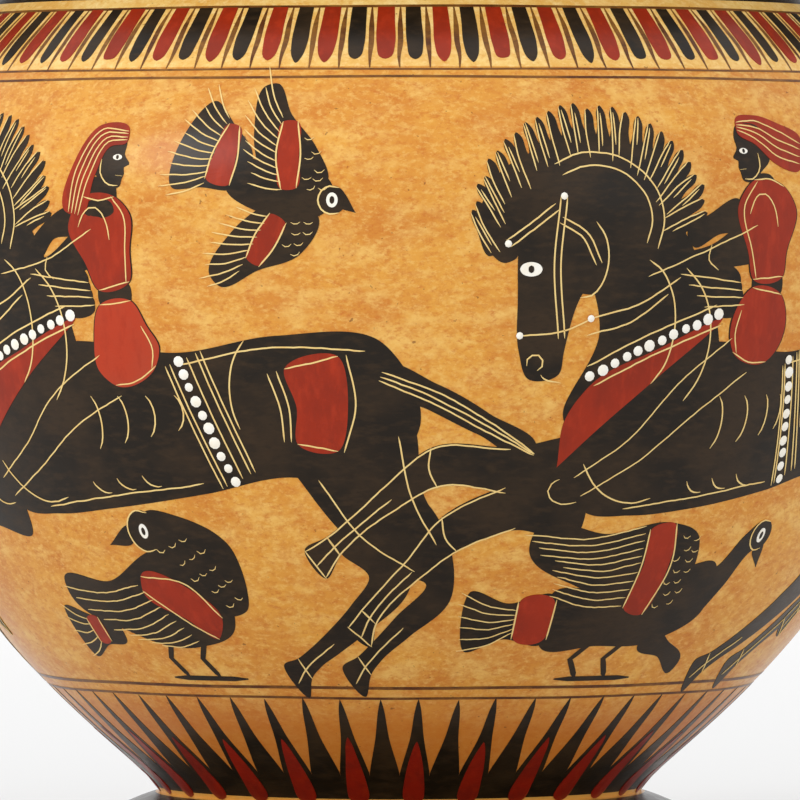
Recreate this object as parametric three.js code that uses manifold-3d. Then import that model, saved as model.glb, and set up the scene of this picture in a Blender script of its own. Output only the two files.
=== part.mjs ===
// A column krater: a wide clay bowl for mixing wine and water, thrown on the wheel and fired.
// Foot, bowl, neck and lip are one turned shape, and the two handles are luted to it before
// firing, so the whole pot is one piece. Millimetres, +Z up, origin in the middle of the
// foot's resting ring, handles along X.

import * as THREE from "three";
import { mergeVertices } from "three/addons/utils/BufferGeometryUtils.js";
import Module from "manifold-3d";

// ---- Driving dimensions ----------------------------------------------------------------

const HEIGHT = 320; // floor to the top of the lip
const AROUND = 56; // facets around every turned shape
const WALL = 6.5; // thickness of the bowl, neck and lip

const FOOT_HEIGHT = 26;
const FOOT_RADIUS = 98; // widest, a little above the floor
const FOOT_REST_OUTER = 95; // the flat ring that the pot stands on
const FOOT_REST_INNER = 80;
const FOOT_HOLLOW = 17; // depth of the hollow under the foot

const STEM_RADIUS = 75; // where the foot meets the bowl
const BELLY_RADIUS = 170;
const BELLY_HEIGHT = 204.5;
const SHOULDER_RADIUS = 132.5; // the end of the painted shoulder
const SHOULDER_HEIGHT = 269.7;

const NECK_RADIUS = 118;
const NECK_START = 284; // where the shoulder's curve has turned upright
const LIP_RADIUS = 146;
const LIP_THICKNESS = 12;
const LIP_ROUND = 3; // rounding of the lip's outer edges

const COLUMN_RADIUS = 8.5;
const COLUMN_TOP = 159; // distance of a column's axis from the pot's axis, under the plate
const COLUMN_FOOT = 150; // and at the shoulder
const COLUMN_SPREAD = 30; // half the distance between the two columns of a handle
const COLUMN_LOW_END = 236; // well inside the shoulder, so that no end shows
const PLATE_REACH = 176; // outer edge of the handle plate
const PLATE_INNER = 122; // the plate's inner edge, inside the lip
const PLATE_WIDTH = 94;
const PLATE_CORNER = 7;
const PLATE_BEVEL = 1.5;

const LIP_UNDERSIDE = HEIGHT - LIP_THICKNESS;
const BOWL_FLOOR = FOOT_HEIGHT + WALL; // height of the floor inside the bowl

// ---- Turned outlines: x is the distance from the axis and y is the height ------------------

// The bowl's outer line: two swelling curves that meet upright at the widest place.
function bowlOutline(path) {
  path.bezierCurveTo(81, 39.5, BELLY_RADIUS, 87, BELLY_RADIUS, BELLY_HEIGHT);
  path.bezierCurveTo(BELLY_RADIUS, 240, 142, 260.5, SHOULDER_RADIUS, SHOULDER_HEIGHT);
}

// Everything that the pot fills, as if it were solid: hollow foot, bowl, neck and lip.
function outerOutline() {
  const path = new THREE.Path();
  path.moveTo(0, FOOT_HOLLOW);
  path.lineTo(STEM_RADIUS - 20, FOOT_HOLLOW);
  path.quadraticCurveTo(FOOT_REST_INNER - 8, FOOT_HOLLOW, FOOT_REST_INNER, 0);
  path.lineTo(FOOT_REST_OUTER, 0);
  path.quadraticCurveTo(FOOT_RADIUS, 1, FOOT_RADIUS, 8);
  path.bezierCurveTo(FOOT_RADIUS, 17, 86, 23, STEM_RADIUS, FOOT_HEIGHT);
  bowlOutline(path);
  path.quadraticCurveTo(NECK_RADIUS + 1, NECK_START - 3, NECK_RADIUS, NECK_START + 4);
  path.quadraticCurveTo(NECK_RADIUS, LIP_UNDERSIDE - 5, NECK_RADIUS + 5, LIP_UNDERSIDE);
  path.lineTo(LIP_RADIUS - LIP_ROUND, LIP_UNDERSIDE);
  path.quadraticCurveTo(LIP_RADIUS, LIP_UNDERSIDE, LIP_RADIUS, LIP_UNDERSIDE + LIP_ROUND);
  path.lineTo(LIP_RADIUS, HEIGHT - LIP_ROUND);
  path.quadraticCurveTo(LIP_RADIUS, HEIGHT, LIP_RADIUS - LIP_ROUND, HEIGHT);
  path.lineTo(0, HEIGHT);
  return turnedPoints(path);
}

// The room inside: the bowl's outline moved in by the wall, and the open mouth above it.
function hollowOutline() {
  const overTop = HEIGHT + 10;
  const path = new THREE.Path();
  path.moveTo(0, BOWL_FLOOR);
  path.lineTo(STEM_RADIUS - 27, BOWL_FLOOR);
  path.bezierCurveTo(STEM_RADIUS + 8, BOWL_FLOOR + 3, BELLY_RADIUS - WALL, 96,
    BELLY_RADIUS - WALL, BELLY_HEIGHT);
  path.bezierCurveTo(BELLY_RADIUS - WALL, 237, 138, 255.5,
    SHOULDER_RADIUS - 5, SHOULDER_HEIGHT - 4.4);
  path.quadraticCurveTo(NECK_RADIUS - WALL + 2, NECK_START - 5, NECK_RADIUS - WALL, NECK_START + 4);
  path.quadraticCurveTo(NECK_RADIUS - WALL, LIP_UNDERSIDE, NECK_RADIUS - 3, HEIGHT);
  path.lineTo(NECK_RADIUS - 3, overTop);
  path.lineTo(0, overTop);
  return turnedPoints(path);
}

// A path's points, with each curve cut fine enough for its length.
function turnedPoints(path) {
  const chord = 14; // target length of one step along a curve
  const points = [];
  for (const piece of path.curves) {
    const straight = piece instanceof THREE.LineCurve;
    const steps = straight ? 1 : Math.max(2, Math.round(piece.getLength() / chord));
    const from = points.length ? 1 : 0;
    points.push(...piece.getSpacedPoints(steps).slice(from));
  }
  return points;
}

function turned(points) {
  return new THREE.LatheGeometry(points, AROUND).rotateX(Math.PI / 2);
}

// ---- Handle parts, made on the +X side -------------------------------------------------------

function column(side) {
  const low = new THREE.Vector3(COLUMN_FOOT, side * COLUMN_SPREAD, COLUMN_LOW_END);
  const high = new THREE.Vector3(COLUMN_TOP, side * COLUMN_SPREAD, LIP_UNDERSIDE + LIP_ROUND);
  const along = high.clone().sub(low);
  const shape = new THREE.CylinderGeometry(COLUMN_RADIUS, COLUMN_RADIUS, along.length(), 20);
  const turn = new THREE.Quaternion().setFromUnitVectors(
    new THREE.Vector3(0, 1, 0), along.clone().normalize());
  shape.applyQuaternion(turn);
  return shape.translate(...low.add(high).multiplyScalar(0.5));
}

function plate() {
  const half = PLATE_WIDTH / 2 - PLATE_BEVEL;
  const reach = PLATE_REACH - PLATE_BEVEL;
  const corner = PLATE_CORNER - PLATE_BEVEL;
  const outline = new THREE.Shape();
  outline.moveTo(PLATE_INNER, -half);
  outline.lineTo(reach - corner, -half);
  outline.absarc(reach - corner, -half + corner, corner, -Math.PI / 2, 0);
  outline.lineTo(reach, half - corner);
  outline.absarc(reach - corner, half - corner, corner, 0, Math.PI / 2);
  outline.lineTo(PLATE_INNER, half);
  const slab = new THREE.ExtrudeGeometry(outline, {
    depth: LIP_THICKNESS - 2 * PLATE_BEVEL,
    bevelEnabled: true,
    bevelThickness: PLATE_BEVEL,
    bevelSize: PLATE_BEVEL,
    bevelSegments: 2,
    curveSegments: 6,
  });
  return slab.translate(0, 0, LIP_UNDERSIDE + PLATE_BEVEL);
}

// ---- Joining ------------------------------------------------------------------------------------

const wasm = await Module();
wasm.setup();

function solid(geometry) {
  const bare = geometry.clone();
  bare.deleteAttribute("normal");
  bare.deleteAttribute("uv");
  const merged = mergeVertices(bare, 1e-4);
  return new wasm.Manifold(new wasm.Mesh({
    numProp: 3,
    vertProperties: new Float32Array(merged.attributes.position.array),
    triVerts: new Uint32Array(merged.index.array),
  }));
}

function geometryOf(body) {
  const mesh = body.getMesh();
  const geometry = new THREE.BufferGeometry();
  geometry.setAttribute("position", new THREE.BufferAttribute(mesh.vertProperties, 3));
  geometry.setIndex(new THREE.BufferAttribute(mesh.triVerts, 1));
  geometry.computeVertexNormals();
  return geometry;
}

// The pot before it is hollowed, with both handles on, and then the hollow cut out of it.
function kraterSolid() {
  let pot = solid(turned(outerOutline()));
  for (const halfTurn of [0, Math.PI]) {
    for (const handlePart of [column(1), column(-1), plate()]) {
      pot = pot.add(solid(handlePart.rotateZ(halfTurn)));
    }
  }
  return pot.subtract(solid(turned(hollowOutline())));
}

const clay = new THREE.MeshStandardMaterial({ color: 0xd9a050, roughness: 0.3, metalness: 0 });
const krater = new THREE.Mesh(geometryOf(kraterSolid()), clay);
krater.name = "krater";

const pot = new THREE.Group();
pot.add(krater);

export default pot;
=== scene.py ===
"""Greek krater: a wheel-thrown clay bowl with a ring foot and two column handles, painted
with riders, birds, rays and tongues in black and red slip, scratched lines and white dots."""

import math
import random

import bpy
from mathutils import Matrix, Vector
from mathutils.geometry import delaunay_2d_cdt


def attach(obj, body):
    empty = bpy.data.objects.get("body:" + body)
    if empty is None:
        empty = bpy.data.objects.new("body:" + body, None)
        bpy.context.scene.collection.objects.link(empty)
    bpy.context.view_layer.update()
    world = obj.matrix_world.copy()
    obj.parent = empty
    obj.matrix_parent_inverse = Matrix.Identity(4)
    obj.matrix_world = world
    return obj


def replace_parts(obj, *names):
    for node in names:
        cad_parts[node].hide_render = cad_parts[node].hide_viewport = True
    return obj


bl_info = {
    "name": "Greek krater",
    "version": (1, 0, 0),
    "blender": (4, 5, 0),
    "location": "View3D > Sidebar > Krater",
    "description": "A painted clay krater with column handles, built around its CAD frame",
    "category": "Object",
}

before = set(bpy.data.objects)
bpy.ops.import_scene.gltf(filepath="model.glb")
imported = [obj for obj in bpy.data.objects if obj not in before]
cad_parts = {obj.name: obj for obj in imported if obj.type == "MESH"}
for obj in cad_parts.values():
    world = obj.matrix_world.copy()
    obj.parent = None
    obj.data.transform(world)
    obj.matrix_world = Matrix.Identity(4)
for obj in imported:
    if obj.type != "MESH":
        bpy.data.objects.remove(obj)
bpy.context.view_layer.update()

MM = 0.001
DRAWING_RADIUS = 170.0  # the drawing's across measure is this radius in mm times the angle
AROUND = 2 * math.pi * DRAWING_RADIUS


def linear(hex_colour):
    """An sRGB hex colour as linear red, green and blue."""
    out = []
    for i in (1, 3, 5):
        c = int(hex_colour[i : i + 2], 16) / 255
        out.append(c / 12.92 if c <= 0.04045 else ((c + 0.055) / 1.055) ** 2.4)
    return tuple(out)


def colour_property(name, hex_colour, description):
    return bpy.props.FloatVectorProperty(
        name=name, description=description, subtype="COLOR", size=3, min=0, max=1, default=linear(hex_colour)
    )


def length_property(name, millimetres, description):
    return bpy.props.FloatProperty(
        name=name, description=description, default=millimetres * MM, min=0, subtype="DISTANCE", unit="LENGTH"
    )


class KraterSizes(bpy.types.PropertyGroup):
    """Sizes of the painting, in metres. The pot's own sizes are the CAD frame's."""

    line_width: length_property("Scratched line", 0.48, "Width of a line scratched through the slip")
    paint_depth: length_property("Paint shell", 0.3, "Thickness of a painted layer, mostly under the clay")
    dot_radius: length_property("White dot", 1.6, "Radius of a dot of white slip on the harness")
    tongues: bpy.props.IntProperty(
        name="Tongues", description="Tongues round the shoulder", default=108, min=12
    )
    rays: bpy.props.IntProperty(name="Rays", description="Rays round the foot of the bowl", default=58, min=8)


class KraterColours(bpy.types.PropertyGroup):
    """Colours of the clay and of the slips."""

    clay: colour_property("Clay", "#D8993E", "Ochre ground of the bowl")
    # The darker clay also serves as painted shade low on the bowl.
    clay_dark: colour_property("Clay, darker", "#BE6A22", "Orange blotches in the clay")
    clay_pale: colour_property("Clay, paler", "#E9BF6C", "Pale patches and the band under the tongues")
    clay_light: colour_property("Clay, lightest", "#F8DA96", "Lightest patches of the pale band")
    black: colour_property("Black slip", "#1C140A", "Glossy black slip")
    black_thin: colour_property("Thin black slip", "#382816", "Black slip where the brush left it thin")
    red: colour_property("Red slip", "#98290C", "Red of tunics, patches and tongues")
    red_bright: colour_property("Bright red slip", "#B23616", "Red where the paint is thickest")
    ray_red: colour_property("Deep red slip", "#8C1C0B", "Red at the bottom of the rays")
    skirt_red: colour_property("Light red slip", "#A83C22", "Red of the skirts")
    brown: colour_property("Brown line", "#5A3013", "Brown of the ruled lines")
    scratch: colour_property("Scratched line", "#E8CB86", "Pale clay that shows in a scratched line")
    white: colour_property("White slip", "#F2EFE6", "White of dots and eyes")


def sizes():
    return bpy.context.scene.krater_sizes


def colours():
    return bpy.context.scene.krater_colours


# ---------------------------------------------------------------- the pot's outline, in millimetres


def quadratic(a, b, c, steps):
    """Points of a quadratic curve after its first end."""
    return [
        tuple((1 - t) ** 2 * p + 2 * t * (1 - t) * q + t * t * r for p, q, r in zip(a, b, c))
        for t in (k / steps for k in range(1, steps + 1))
    ]


def cubic(a, b, c, d, steps):
    """Points of a cubic curve after its first end."""
    return [
        tuple(
            (1 - t) ** 3 * p + 3 * t * (1 - t) ** 2 * q + 3 * t * t * (1 - t) * r + t**3 * s
            for p, q, r, s in zip(a, b, c, d)
        )
        for t in (k / steps for k in range(1, steps + 1))
    ]


FOOT_BOWL_JOINT = (75, 26)
WIDEST = (170, 204.5)
SHOULDER = (132.5, 269.7)
RAY_BLACK_TOP = 35.0
FOOT_LINE = (25.6, 27.4)
TONGUE_BAND = (248.4, 269.6)
NECK_BLACK = 266.3
FOOT_HOLLOW = 17.0
INSIDE_FLOOR = 30.0  # a little under the floor of the hollow
INSIDE_CLAY_TOP = 262.0  # black slip runs this far down inside the neck
CLAY, PALE_CLAY, BLACK = range(3)  # numbers of the finishes on the pot


def bowl_outline(steps):
    """The bowl's outside from the foot up to the shoulder."""
    lower = cubic(FOOT_BOWL_JOINT, (81, 39.5), (170, 87), WIDEST, steps)
    upper = cubic(WIDEST, (170, 240), (142, 260.5), SHOULDER, steps)
    return [FOOT_BOWL_JOINT] + lower + upper


def at_heights(points, heights):
    """The same line with a point added at each height, where a painted band ends."""
    out = [points[0]]
    for low, high in zip(points, points[1:]):
        for h in sorted(h for h in heights if low[1] + 0.05 < h < high[1] - 0.05):
            t = (h - low[1]) / (high[1] - low[1])
            out.append((low[0] + t * (high[0] - low[0]), h))
        out.append(high)
    return out


def outside_outline():
    """Radius and height from the middle of the foot's hollow up over the lip to the axis."""
    line = [(0, 17), (30, 17), (55, 17)]
    line += quadratic((55, 17), (72, 17), (80, 0), 8)
    line += [(87, 0), (95, 0)] + quadratic((95, 0), (98, 1), (98, 8), 5)
    line += cubic((98, 8), (98, 17), (86, 23), FOOT_BOWL_JOINT, 10)
    line += bowl_outline(48)[1:]
    line += quadratic(SHOULDER, (119, 281), (118, 288), 8)
    line += quadratic((118, 288), (118, 303), (123, 308), 8) + [(133, 308), (143, 308)]
    line += quadratic((143, 308), (146, 308), (146, 311), 4) + [(146, 314), (146, 317)]
    line += quadratic((146, 317), (146, 320), (143, 320), 4) + [(130, 320), (60, 320), (0, 320)]
    return line


def inside_outline():
    """Radius and height of the bowl's hollow, carried on above the lip as the tool that cuts it."""
    line = [(0, 32.5), (25, 32.5), (48, 32.5)]
    line += cubic((48, 32.5), (83, 35.5), (163.5, 96), (163.5, 204.5), 30)
    line += cubic((163.5, 204.5), (163.5, 237), (138, 255.5), (127.5, 265.3), 16)
    line += quadratic((127.5, 265.3), (113.5, 279), (111.5, 288), 6)
    line += quadratic((111.5, 288), (111.5, 308), (115, 320), 8) + [(117, 326), (0, 326)]
    return line


OUTSIDE = bowl_outline(400)


def radius_at(z):
    """The bowl's outside radius at a height, both in millimetres."""
    low, high = 0, len(OUTSIDE) - 1
    while high - low > 1:
        middle = (low + high) // 2
        if OUTSIDE[middle][1] <= z:
            low = middle
        else:
            high = middle
    (r0, z0), (r1, z1) = OUTSIDE[low], OUTSIDE[high]
    return r0 + (r1 - r0) * (z - z0) / (z1 - z0)


def on_pot(u, z, lift=0.0):
    """The place in metres of drawing point u, z, and lift millimetres off the surface."""
    angle = u / DRAWING_RADIUS
    slope = radius_at(z + 0.5) - radius_at(z - 0.5)
    out, up = 1 / math.hypot(1, slope), -slope / math.hypot(1, slope)
    r = radius_at(z) + lift * out
    return Vector((r * math.sin(angle), -r * math.cos(angle), z + lift * up)) * MM


def normal_at(u, z):
    return (on_pot(u, z, 1.0) - on_pot(u, z)).normalized()


# ---------------------------------------------------------------- lines and areas of the drawing


def smooth(points, closed=True, step=0.9):
    """A smooth line through the points. A third value in a point makes it a sharp corner."""
    places = [Vector(p[:2]) for p in points]
    sharp = [len(p) > 2 for p in points]
    count = len(points)
    out = []
    for i in range(count if closed else count - 1):
        j = (i + 1) % count
        a, b = places[i], places[j]
        length = (b - a).length

        def slope(k):
            if sharp[k] or (not closed and k in (0, count - 1)):
                return b - a
            before, after = places[k] - places[k - 1], places[(k + 1) % count] - places[k]
            h0, h1 = before.length, after.length
            return (before * (h1 / h0) + after * (h0 / h1)) * (length / (h0 + h1))

        start, end = slope(i), slope(j)
        pieces = max(1, round(length / step))
        for k in range(pieces):
            t = k / pieces
            out.append(
                a * (2 * t**3 - 3 * t**2 + 1)
                + start * (t**3 - 2 * t**2 + t)
                + b * (3 * t**2 - 2 * t**3)
                + end * (t**3 - t**2)
            )
    if not closed:
        out.append(places[-1])
    return out


def moved(points, by):
    """The points moved across by some millimetres."""
    return [(p[0] + by, *p[1:]) for p in points]


def loop(u, z, width, height, count=14):
    """Points round an oval."""
    return [
        (u + width * math.cos(2 * math.pi * k / count), z + height * math.sin(2 * math.pi * k / count))
        for k in range(count)
    ]


def along(points, count):
    """So many points at equal steps along a smooth line."""
    line = smooth(points, closed=False)
    total = sum((b - a).length for a, b in zip(line, line[1:]))
    out, gone, k = [], 0.0, 0
    for a, b in zip(line, line[1:]):
        length = (b - a).length
        while k < count and k * total / (count - 1) <= gone + length + 1e-6:
            t = (k * total / (count - 1) - gone) / length if length else 0
            out.append(a.lerp(b, t))
            k += 1
        gone += length
    return out


GRID = 5.0  # spacing of the points that let an area follow the bowl
DOT_TALL = 0.35
SMOOTH_ANGLE = 50  # degrees


class Layer:
    """Points and faces of one painted layer, gathered before they become a mesh."""

    def __init__(self):
        self.points, self.faces, self.tints = [], [], []

    def add(self, points, faces, tint=0):
        start = len(self.points)
        self.points += points
        self.faces += [tuple(start + k for k in f) for f in faces]
        self.tints += [tint] * len(faces)

    def area(self, outlines, lift, tint=0):
        """Fills smooth outlines, which may overlap, with a thin closed shell on the bowl."""
        depth = sizes().paint_depth / MM
        flat, rings = [], []
        for outline in outlines:
            rings.append(list(range(len(flat), len(flat) + len(outline))))
            flat += [Vector(p) for p in outline]
        low_u, high_u = min(p.x for p in flat), max(p.x for p in flat)
        low_z, high_z = min(p.y for p in flat), max(p.y for p in flat)
        for i in range(1, int((high_u - low_u) / GRID)):
            for j in range(1, int((high_z - low_z) / GRID)):
                flat.append(Vector((low_u + (i + 0.31 * (j % 2)) * GRID, low_z + j * GRID)))
        made = delaunay_2d_cdt(flat, [], rings, 1, 1e-4)
        places, triangles = made[0], [tuple(t) for t in made[2] if len(t) == 3]
        used = sorted({k for t in triangles for k in t})
        index = {k: n for n, k in enumerate(used)}
        triangles = [tuple(index[k] for k in t) for t in triangles]
        top = [on_pot(places[k].x, places[k].y, lift) for k in used]
        bottom = [on_pot(places[k].x, places[k].y, lift - depth) for k in used]
        a, b, c = (top[k] for k in triangles[0])
        middle = places[used[triangles[0][0]]]
        if (b - a).cross(c - a).dot(normal_at(middle.x, middle.y)) < 0:
            triangles = [t[::-1] for t in triangles]
        edges = {(t[k], t[(k + 1) % 3]) for t in triangles for k in range(3)}
        n = len(top)
        faces = triangles + [tuple(k + n for k in reversed(t)) for t in triangles]
        faces += [(b, a, a + n, b + n) for a, b in edges if (b, a) not in edges]
        self.add(top + bottom, faces, tint)

    def stroke(self, line, width, lift, taper=2.5, closed=False):
        """A ribbon along a line of drawing points: two upper edges and one under the surface."""
        places = [on_pot(p[0], p[1], lift) for p in line]
        normals = [normal_at(p[0], p[1]) for p in line]
        count = len(line)
        lengths = [0.0]
        for a, b in zip(places, places[1:]):
            lengths.append(lengths[-1] + (b - a).length / MM)
        points, last = [], count - 1
        for k, (place, normal) in enumerate(zip(places, normals)):
            ahead = places[(k + 1) % count] if closed else places[min(k + 1, last)]
            behind = places[k - 1] if closed or k else places[0]
            side = normal.cross(ahead - behind).normalized()
            share = 1.0
            if not closed:
                share = min(1.0, 0.25 + lengths[k] / taper, 0.25 + (lengths[-1] - lengths[k]) / taper)
            half = side * (width * share * MM / 2)
            points += [place + half, place - half, place - normal * (width * 0.3 + lift) * MM]
        faces = []
        for k in range(count if closed else last):
            a, b = 3 * k, 3 * ((k + 1) % count)
            faces += [(a, a + 1, b + 1, b), (a + 1, a + 2, b + 2, b + 1), (a + 2, a, b, b + 2)]
        if not closed:
            faces += [(2, 1, 0), (3 * last, 3 * last + 1, 3 * last + 2)]
        self.add(points, faces)

    def dot(self, u, z, radius, lift, count=10):
        """A low dome of thick paint, round in real millimetres."""
        across = radius * DRAWING_RADIUS / radius_at(z)
        points = []
        for share, rise in ((1.0, 0.0), (0.55, 0.8)):
            for t in turn_steps(count):
                place = (u + share * across * math.cos(t), z + share * radius * math.sin(t))
                points.append(on_pot(*place, lift + DOT_TALL * rise))
        points += [on_pot(u, z, lift + DOT_TALL), on_pot(u, z, -0.4)]
        faces = []
        for k in range(count):
            m = (k + 1) % count
            faces += [(k, m, count + m, count + k), (count + k, count + m, 2 * count), (m, k, 2 * count + 1)]
        self.add(points, faces)

    def mesh(self, name, materials):
        """One smoothed object of the whole layer."""
        data = bpy.data.meshes.new(name)
        data.from_pydata(self.points, [], self.faces)
        for material in materials:
            data.materials.append(material)
        data.polygons.foreach_set("material_index", self.tints)
        piece = bpy.data.objects.new(name, data)
        bpy.context.scene.collection.objects.link(piece)
        select_only(piece)
        bpy.ops.object.shade_smooth_by_angle(angle=math.radians(SMOOTH_ANGLE))
        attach(piece, "root")
        return piece


def turn_steps(count):
    return [2 * math.pi * k / count for k in range(count)]


def select_only(piece):
    bpy.ops.object.select_all(action="DESELECT")
    piece.select_set(True)
    bpy.context.view_layer.objects.active = piece


# ---------------------------------------------------------------- the figures, in drawing millimetres
# Across is measured from the rider's waist or the bird's own middle, and up from the foot's rest.
# A limb is a middle line of a few points, each with the limb's width there: (across, up, width).

HEAD = [(-65, 216, 24), (-70, 198, 27), (-75, 178, 18), (-76, 164, 14), (-75, 157, 10)]
NECK = [(-56, 208, 32), (-46, 192, 34), (-38, 172, 40), (-42, 142, 52)]
BARREL = [
    (-62, 126, 22), (-46, 136, 44), (-18, 142, 50), (22, 143, 42), (52, 148, 42), (76, 146, 44),
    (90, 136, 14),
]  # fmt: skip
HAUNCH = [(64, 150, 38), (75, 133, 40), (84, 115, 28), (97, 103, 15)]
TAIL = [(82, 157, 6), (98, 151, 8), (114, 143, 7), (131, 134, 1)]
FORELOCK = [(-72, 219, 8), (-85, 212, 13), (-90, 200, 11), (-86, 191, 3)]
FORE_HIGH = [
    (-58, 126, 24), (-84, 129, 14), (-108, 130, 12), (-122, 121, 8), (-136, 111, 6), (-142, 106.5, 7),
    (-149, 101, 11),
]  # fmt: skip
FORE_LOW = [
    (-58, 120, 22), (-82, 118, 14), (-102, 110, 12), (-115, 99, 7.5), (-126, 90, 6), (-131, 85, 7),
    (-135, 79, 11),
]  # fmt: skip
HIND_NEAR = [
    (86, 112, 24), (99, 102, 16), (102, 93, 11), (89, 82, 8), (78, 74, 6.5), (73, 70, 7.5), (68, 65, 13),
]  # fmt: skip
HIND_FAR = [
    (80, 108, 26), (84, 95, 15), (73, 85, 10), (61, 77, 7.5), (52, 72, 6.5), (47, 69, 7.5), (42, 65, 13),
]  # fmt: skip
LEGS = [FORE_HIGH, FORE_LOW, HIND_NEAR, HIND_FAR]

CREST = (-60, 203)  # middle of the round crest that the mane stands on
MANE_ACROSS, MANE_UP = 37.5, 34  # from there out to the tips of the locks
LOCKS = 27
RED_BREAST = [(-16, 174), (-38, 165), (-60, 154), (-67, 144), (-68, 130, 1), (-56, 141), (-38, 156)]
RED_HAUNCH = [(61, 161, 17), (64, 148, 16), (62, 136, 13)]
NECK_STRAP = [(-60, 157), (-40, 166.5), (-17.5, 175)]
GIRTH_STRAP = [(19, 161.5), (26, 143.5), (33.5, 125.5)]
CHEEK_STRAP = [(-70, 210), (-72, 190), (-70, 168)]
BROW_BAND = [(-87, 196), (-80, 201), (-72, 207)]
THROAT_STRAP = [(-71, 203), (-64, 199), (-59, 190)]
NOSE_BAND = [(-83, 169), (-70, 170), (-61, 174)]
REINS = [[(-61, 174), (-46, 178), (-32, 186)], [(-62, 169), (-48, 173), (-36, 181)]]

# One plain profile serves both riders, turned to the side that each looks to. It is drawn round the
# middle of the head, with the eye half way up.
PROFILE = [
    (0, 9), (5, 8), (6.6, 4.5), (6.3, 1.5), (8.2, -1.6), (6.5, -2.4), (6.8, -4.2), (6.2, -5.8), (5.6, -8),
    (2, -8.6), (-2, -5.5), (-6, -2), (-6.5, 4), (-4, 8),
]  # fmt: skip

RIDER_BACK = {
    "side": 1,
    "head": (-4.5, 221),
    "skin": [[(-5, 215, 8), (-6, 206, 11)], [(-14, 203, 8), (-24, 200, 6), (-30, 193, 4)]],
    "arm": [(-7, 197, 10), (-24, 189, 7), (-44, 185, 6)],
    "hair": [(2, 228, 4), (-6, 228, 8), (-12, 218, 9), (-15, 205, 6)],
    "tunic": [(-6, 210, 11), (-6, 203, 22), (-3, 192, 16), (-1, 183.5, 11)],
    "skirt": [(-1, 178.5, 11), (0, 170, 19), (2, 162, 23), (4, 157, 16)],
    "leg": [(-5, 157, 15), (-24, 147, 13), (-42, 133, 9), (-60, 123, 7)],
}

RIDER_AHEAD = {
    "side": -1,
    "head": (-3.5, 223),
    "skin": [[(-2, 216, 8), (-1, 208, 12)], [(-10, 205, 9), (-20, 202, 7), (-29, 197, 4)]],
    "arm": [(-3, 198, 10), (-20, 192, 8), (-42, 184, 7)],
    "hair": [(-8, 231, 4), (-1, 230, 9), (7, 226, 13), (16, 223, 11)],
    "tunic": [(1, 214, 12), (0, 207, 23), (0, 193, 15), (0.5, 186, 12)],
    "skirt": [(0.5, 182, 12), (-1, 174, 21), (-3, 167, 20), (-4, 162.5, 14)],
    "leg": [(-8, 163, 14), (-26, 150, 13), (-42, 135, 9), (-60, 124, 7)],
}

FLYING_BIRD = {
    "limbs": [
        [(-14, 217, 10), (-4, 212, 14), (8, 211, 16), (15, 209, 8)],
        [(-5, 243, 3), (-3, 232, 12), (3, 220, 18), (9, 211, 14)],
        [(-20, 185, 3), (-10, 194, 14), (1, 200, 18), (8, 207, 12)],
        [(-27, 225, 28), (-20, 222, 21), (-11, 217, 11)],
    ],
    "head": (16, 208.8, 4.2, 4.2),
    "beak": [(19, 211), (23, 205), (18, 207)],
    "bars": [
        [(2.5, 232, 4), (2.5, 222, 6.5), (3, 212, 4)],
        [(0, 203.5, 5), (-4, 197, 6), (-8, 190.5, 4)],
        [(-15, 231, 3), (-17, 222, 7), (-19, 214, 7)],
    ],
    "fans": [
        ([(-5, 244), (-10, 230), (-5, 213)], [(0, 233), (-1, 222), (1, 212)], 11, 4),
        ([(-21, 240), (-30, 226), (-33, 211)], [(-17, 233), (-20, 224), (-23, 214)], 12, 5),
        ([(-10, 206), (-18, 197), (-21, 184)], [(-3, 204), (-7, 197), (-12, 188)], 9, 4),
    ],
    "scales": [
        ([(7, 229), (7, 213)], [(12, 225), (14, 213)], 6, 1.6),
        ([(4, 203), (0, 193)], [(12, 203), (6, 194)], 4, 1.6),
    ],
    "legs": [],
}

STANDING_BIRD = {
    "limbs": [
        [(-52, 93, 2), (-28, 87, 16), (0, 90, 30), (20, 92, 22)],
        [(18, 88, 22), (19, 101, 20), (8, 109, 13), (-3, 110, 12)],
        [(-34, 80, 6), (-46, 79.5, 9), (-60, 79, 15)],
    ],
    "head": (-4.5, 110.5, 6.3, 6.3),
    "beak": [(-10, 111.5), (-21, 106), (-10, 107.5)],
    "bars": [[(-13, 94.5, 4), (4, 88.5, 11), (15, 81, 7)], [(-47, 83.5, 6), (-46.5, 76, 6)]],
    "fans": [
        ([(-52, 93), (-34, 80), (-14, 75.5)], [(-15, 94), (-6, 85), (3, 77)], 9, 3),
        ([(-61, 87), (-61, 71.5)], [(-50, 83), (-49.5, 76)], 5, 2.5),
    ],
    "scales": [([(-1, 105), (20, 88)], [(13, 110), (29, 93)], 5, 1.9)],
    "legs": [[(-10, 78), (-15, 71.5, 1), (-10, 65.5)], [(6, 78), (1, 71.5, 1), (6, 65.5)]],
    "rest": [(-19, 65.4), (19, 65.4)],
}

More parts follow.
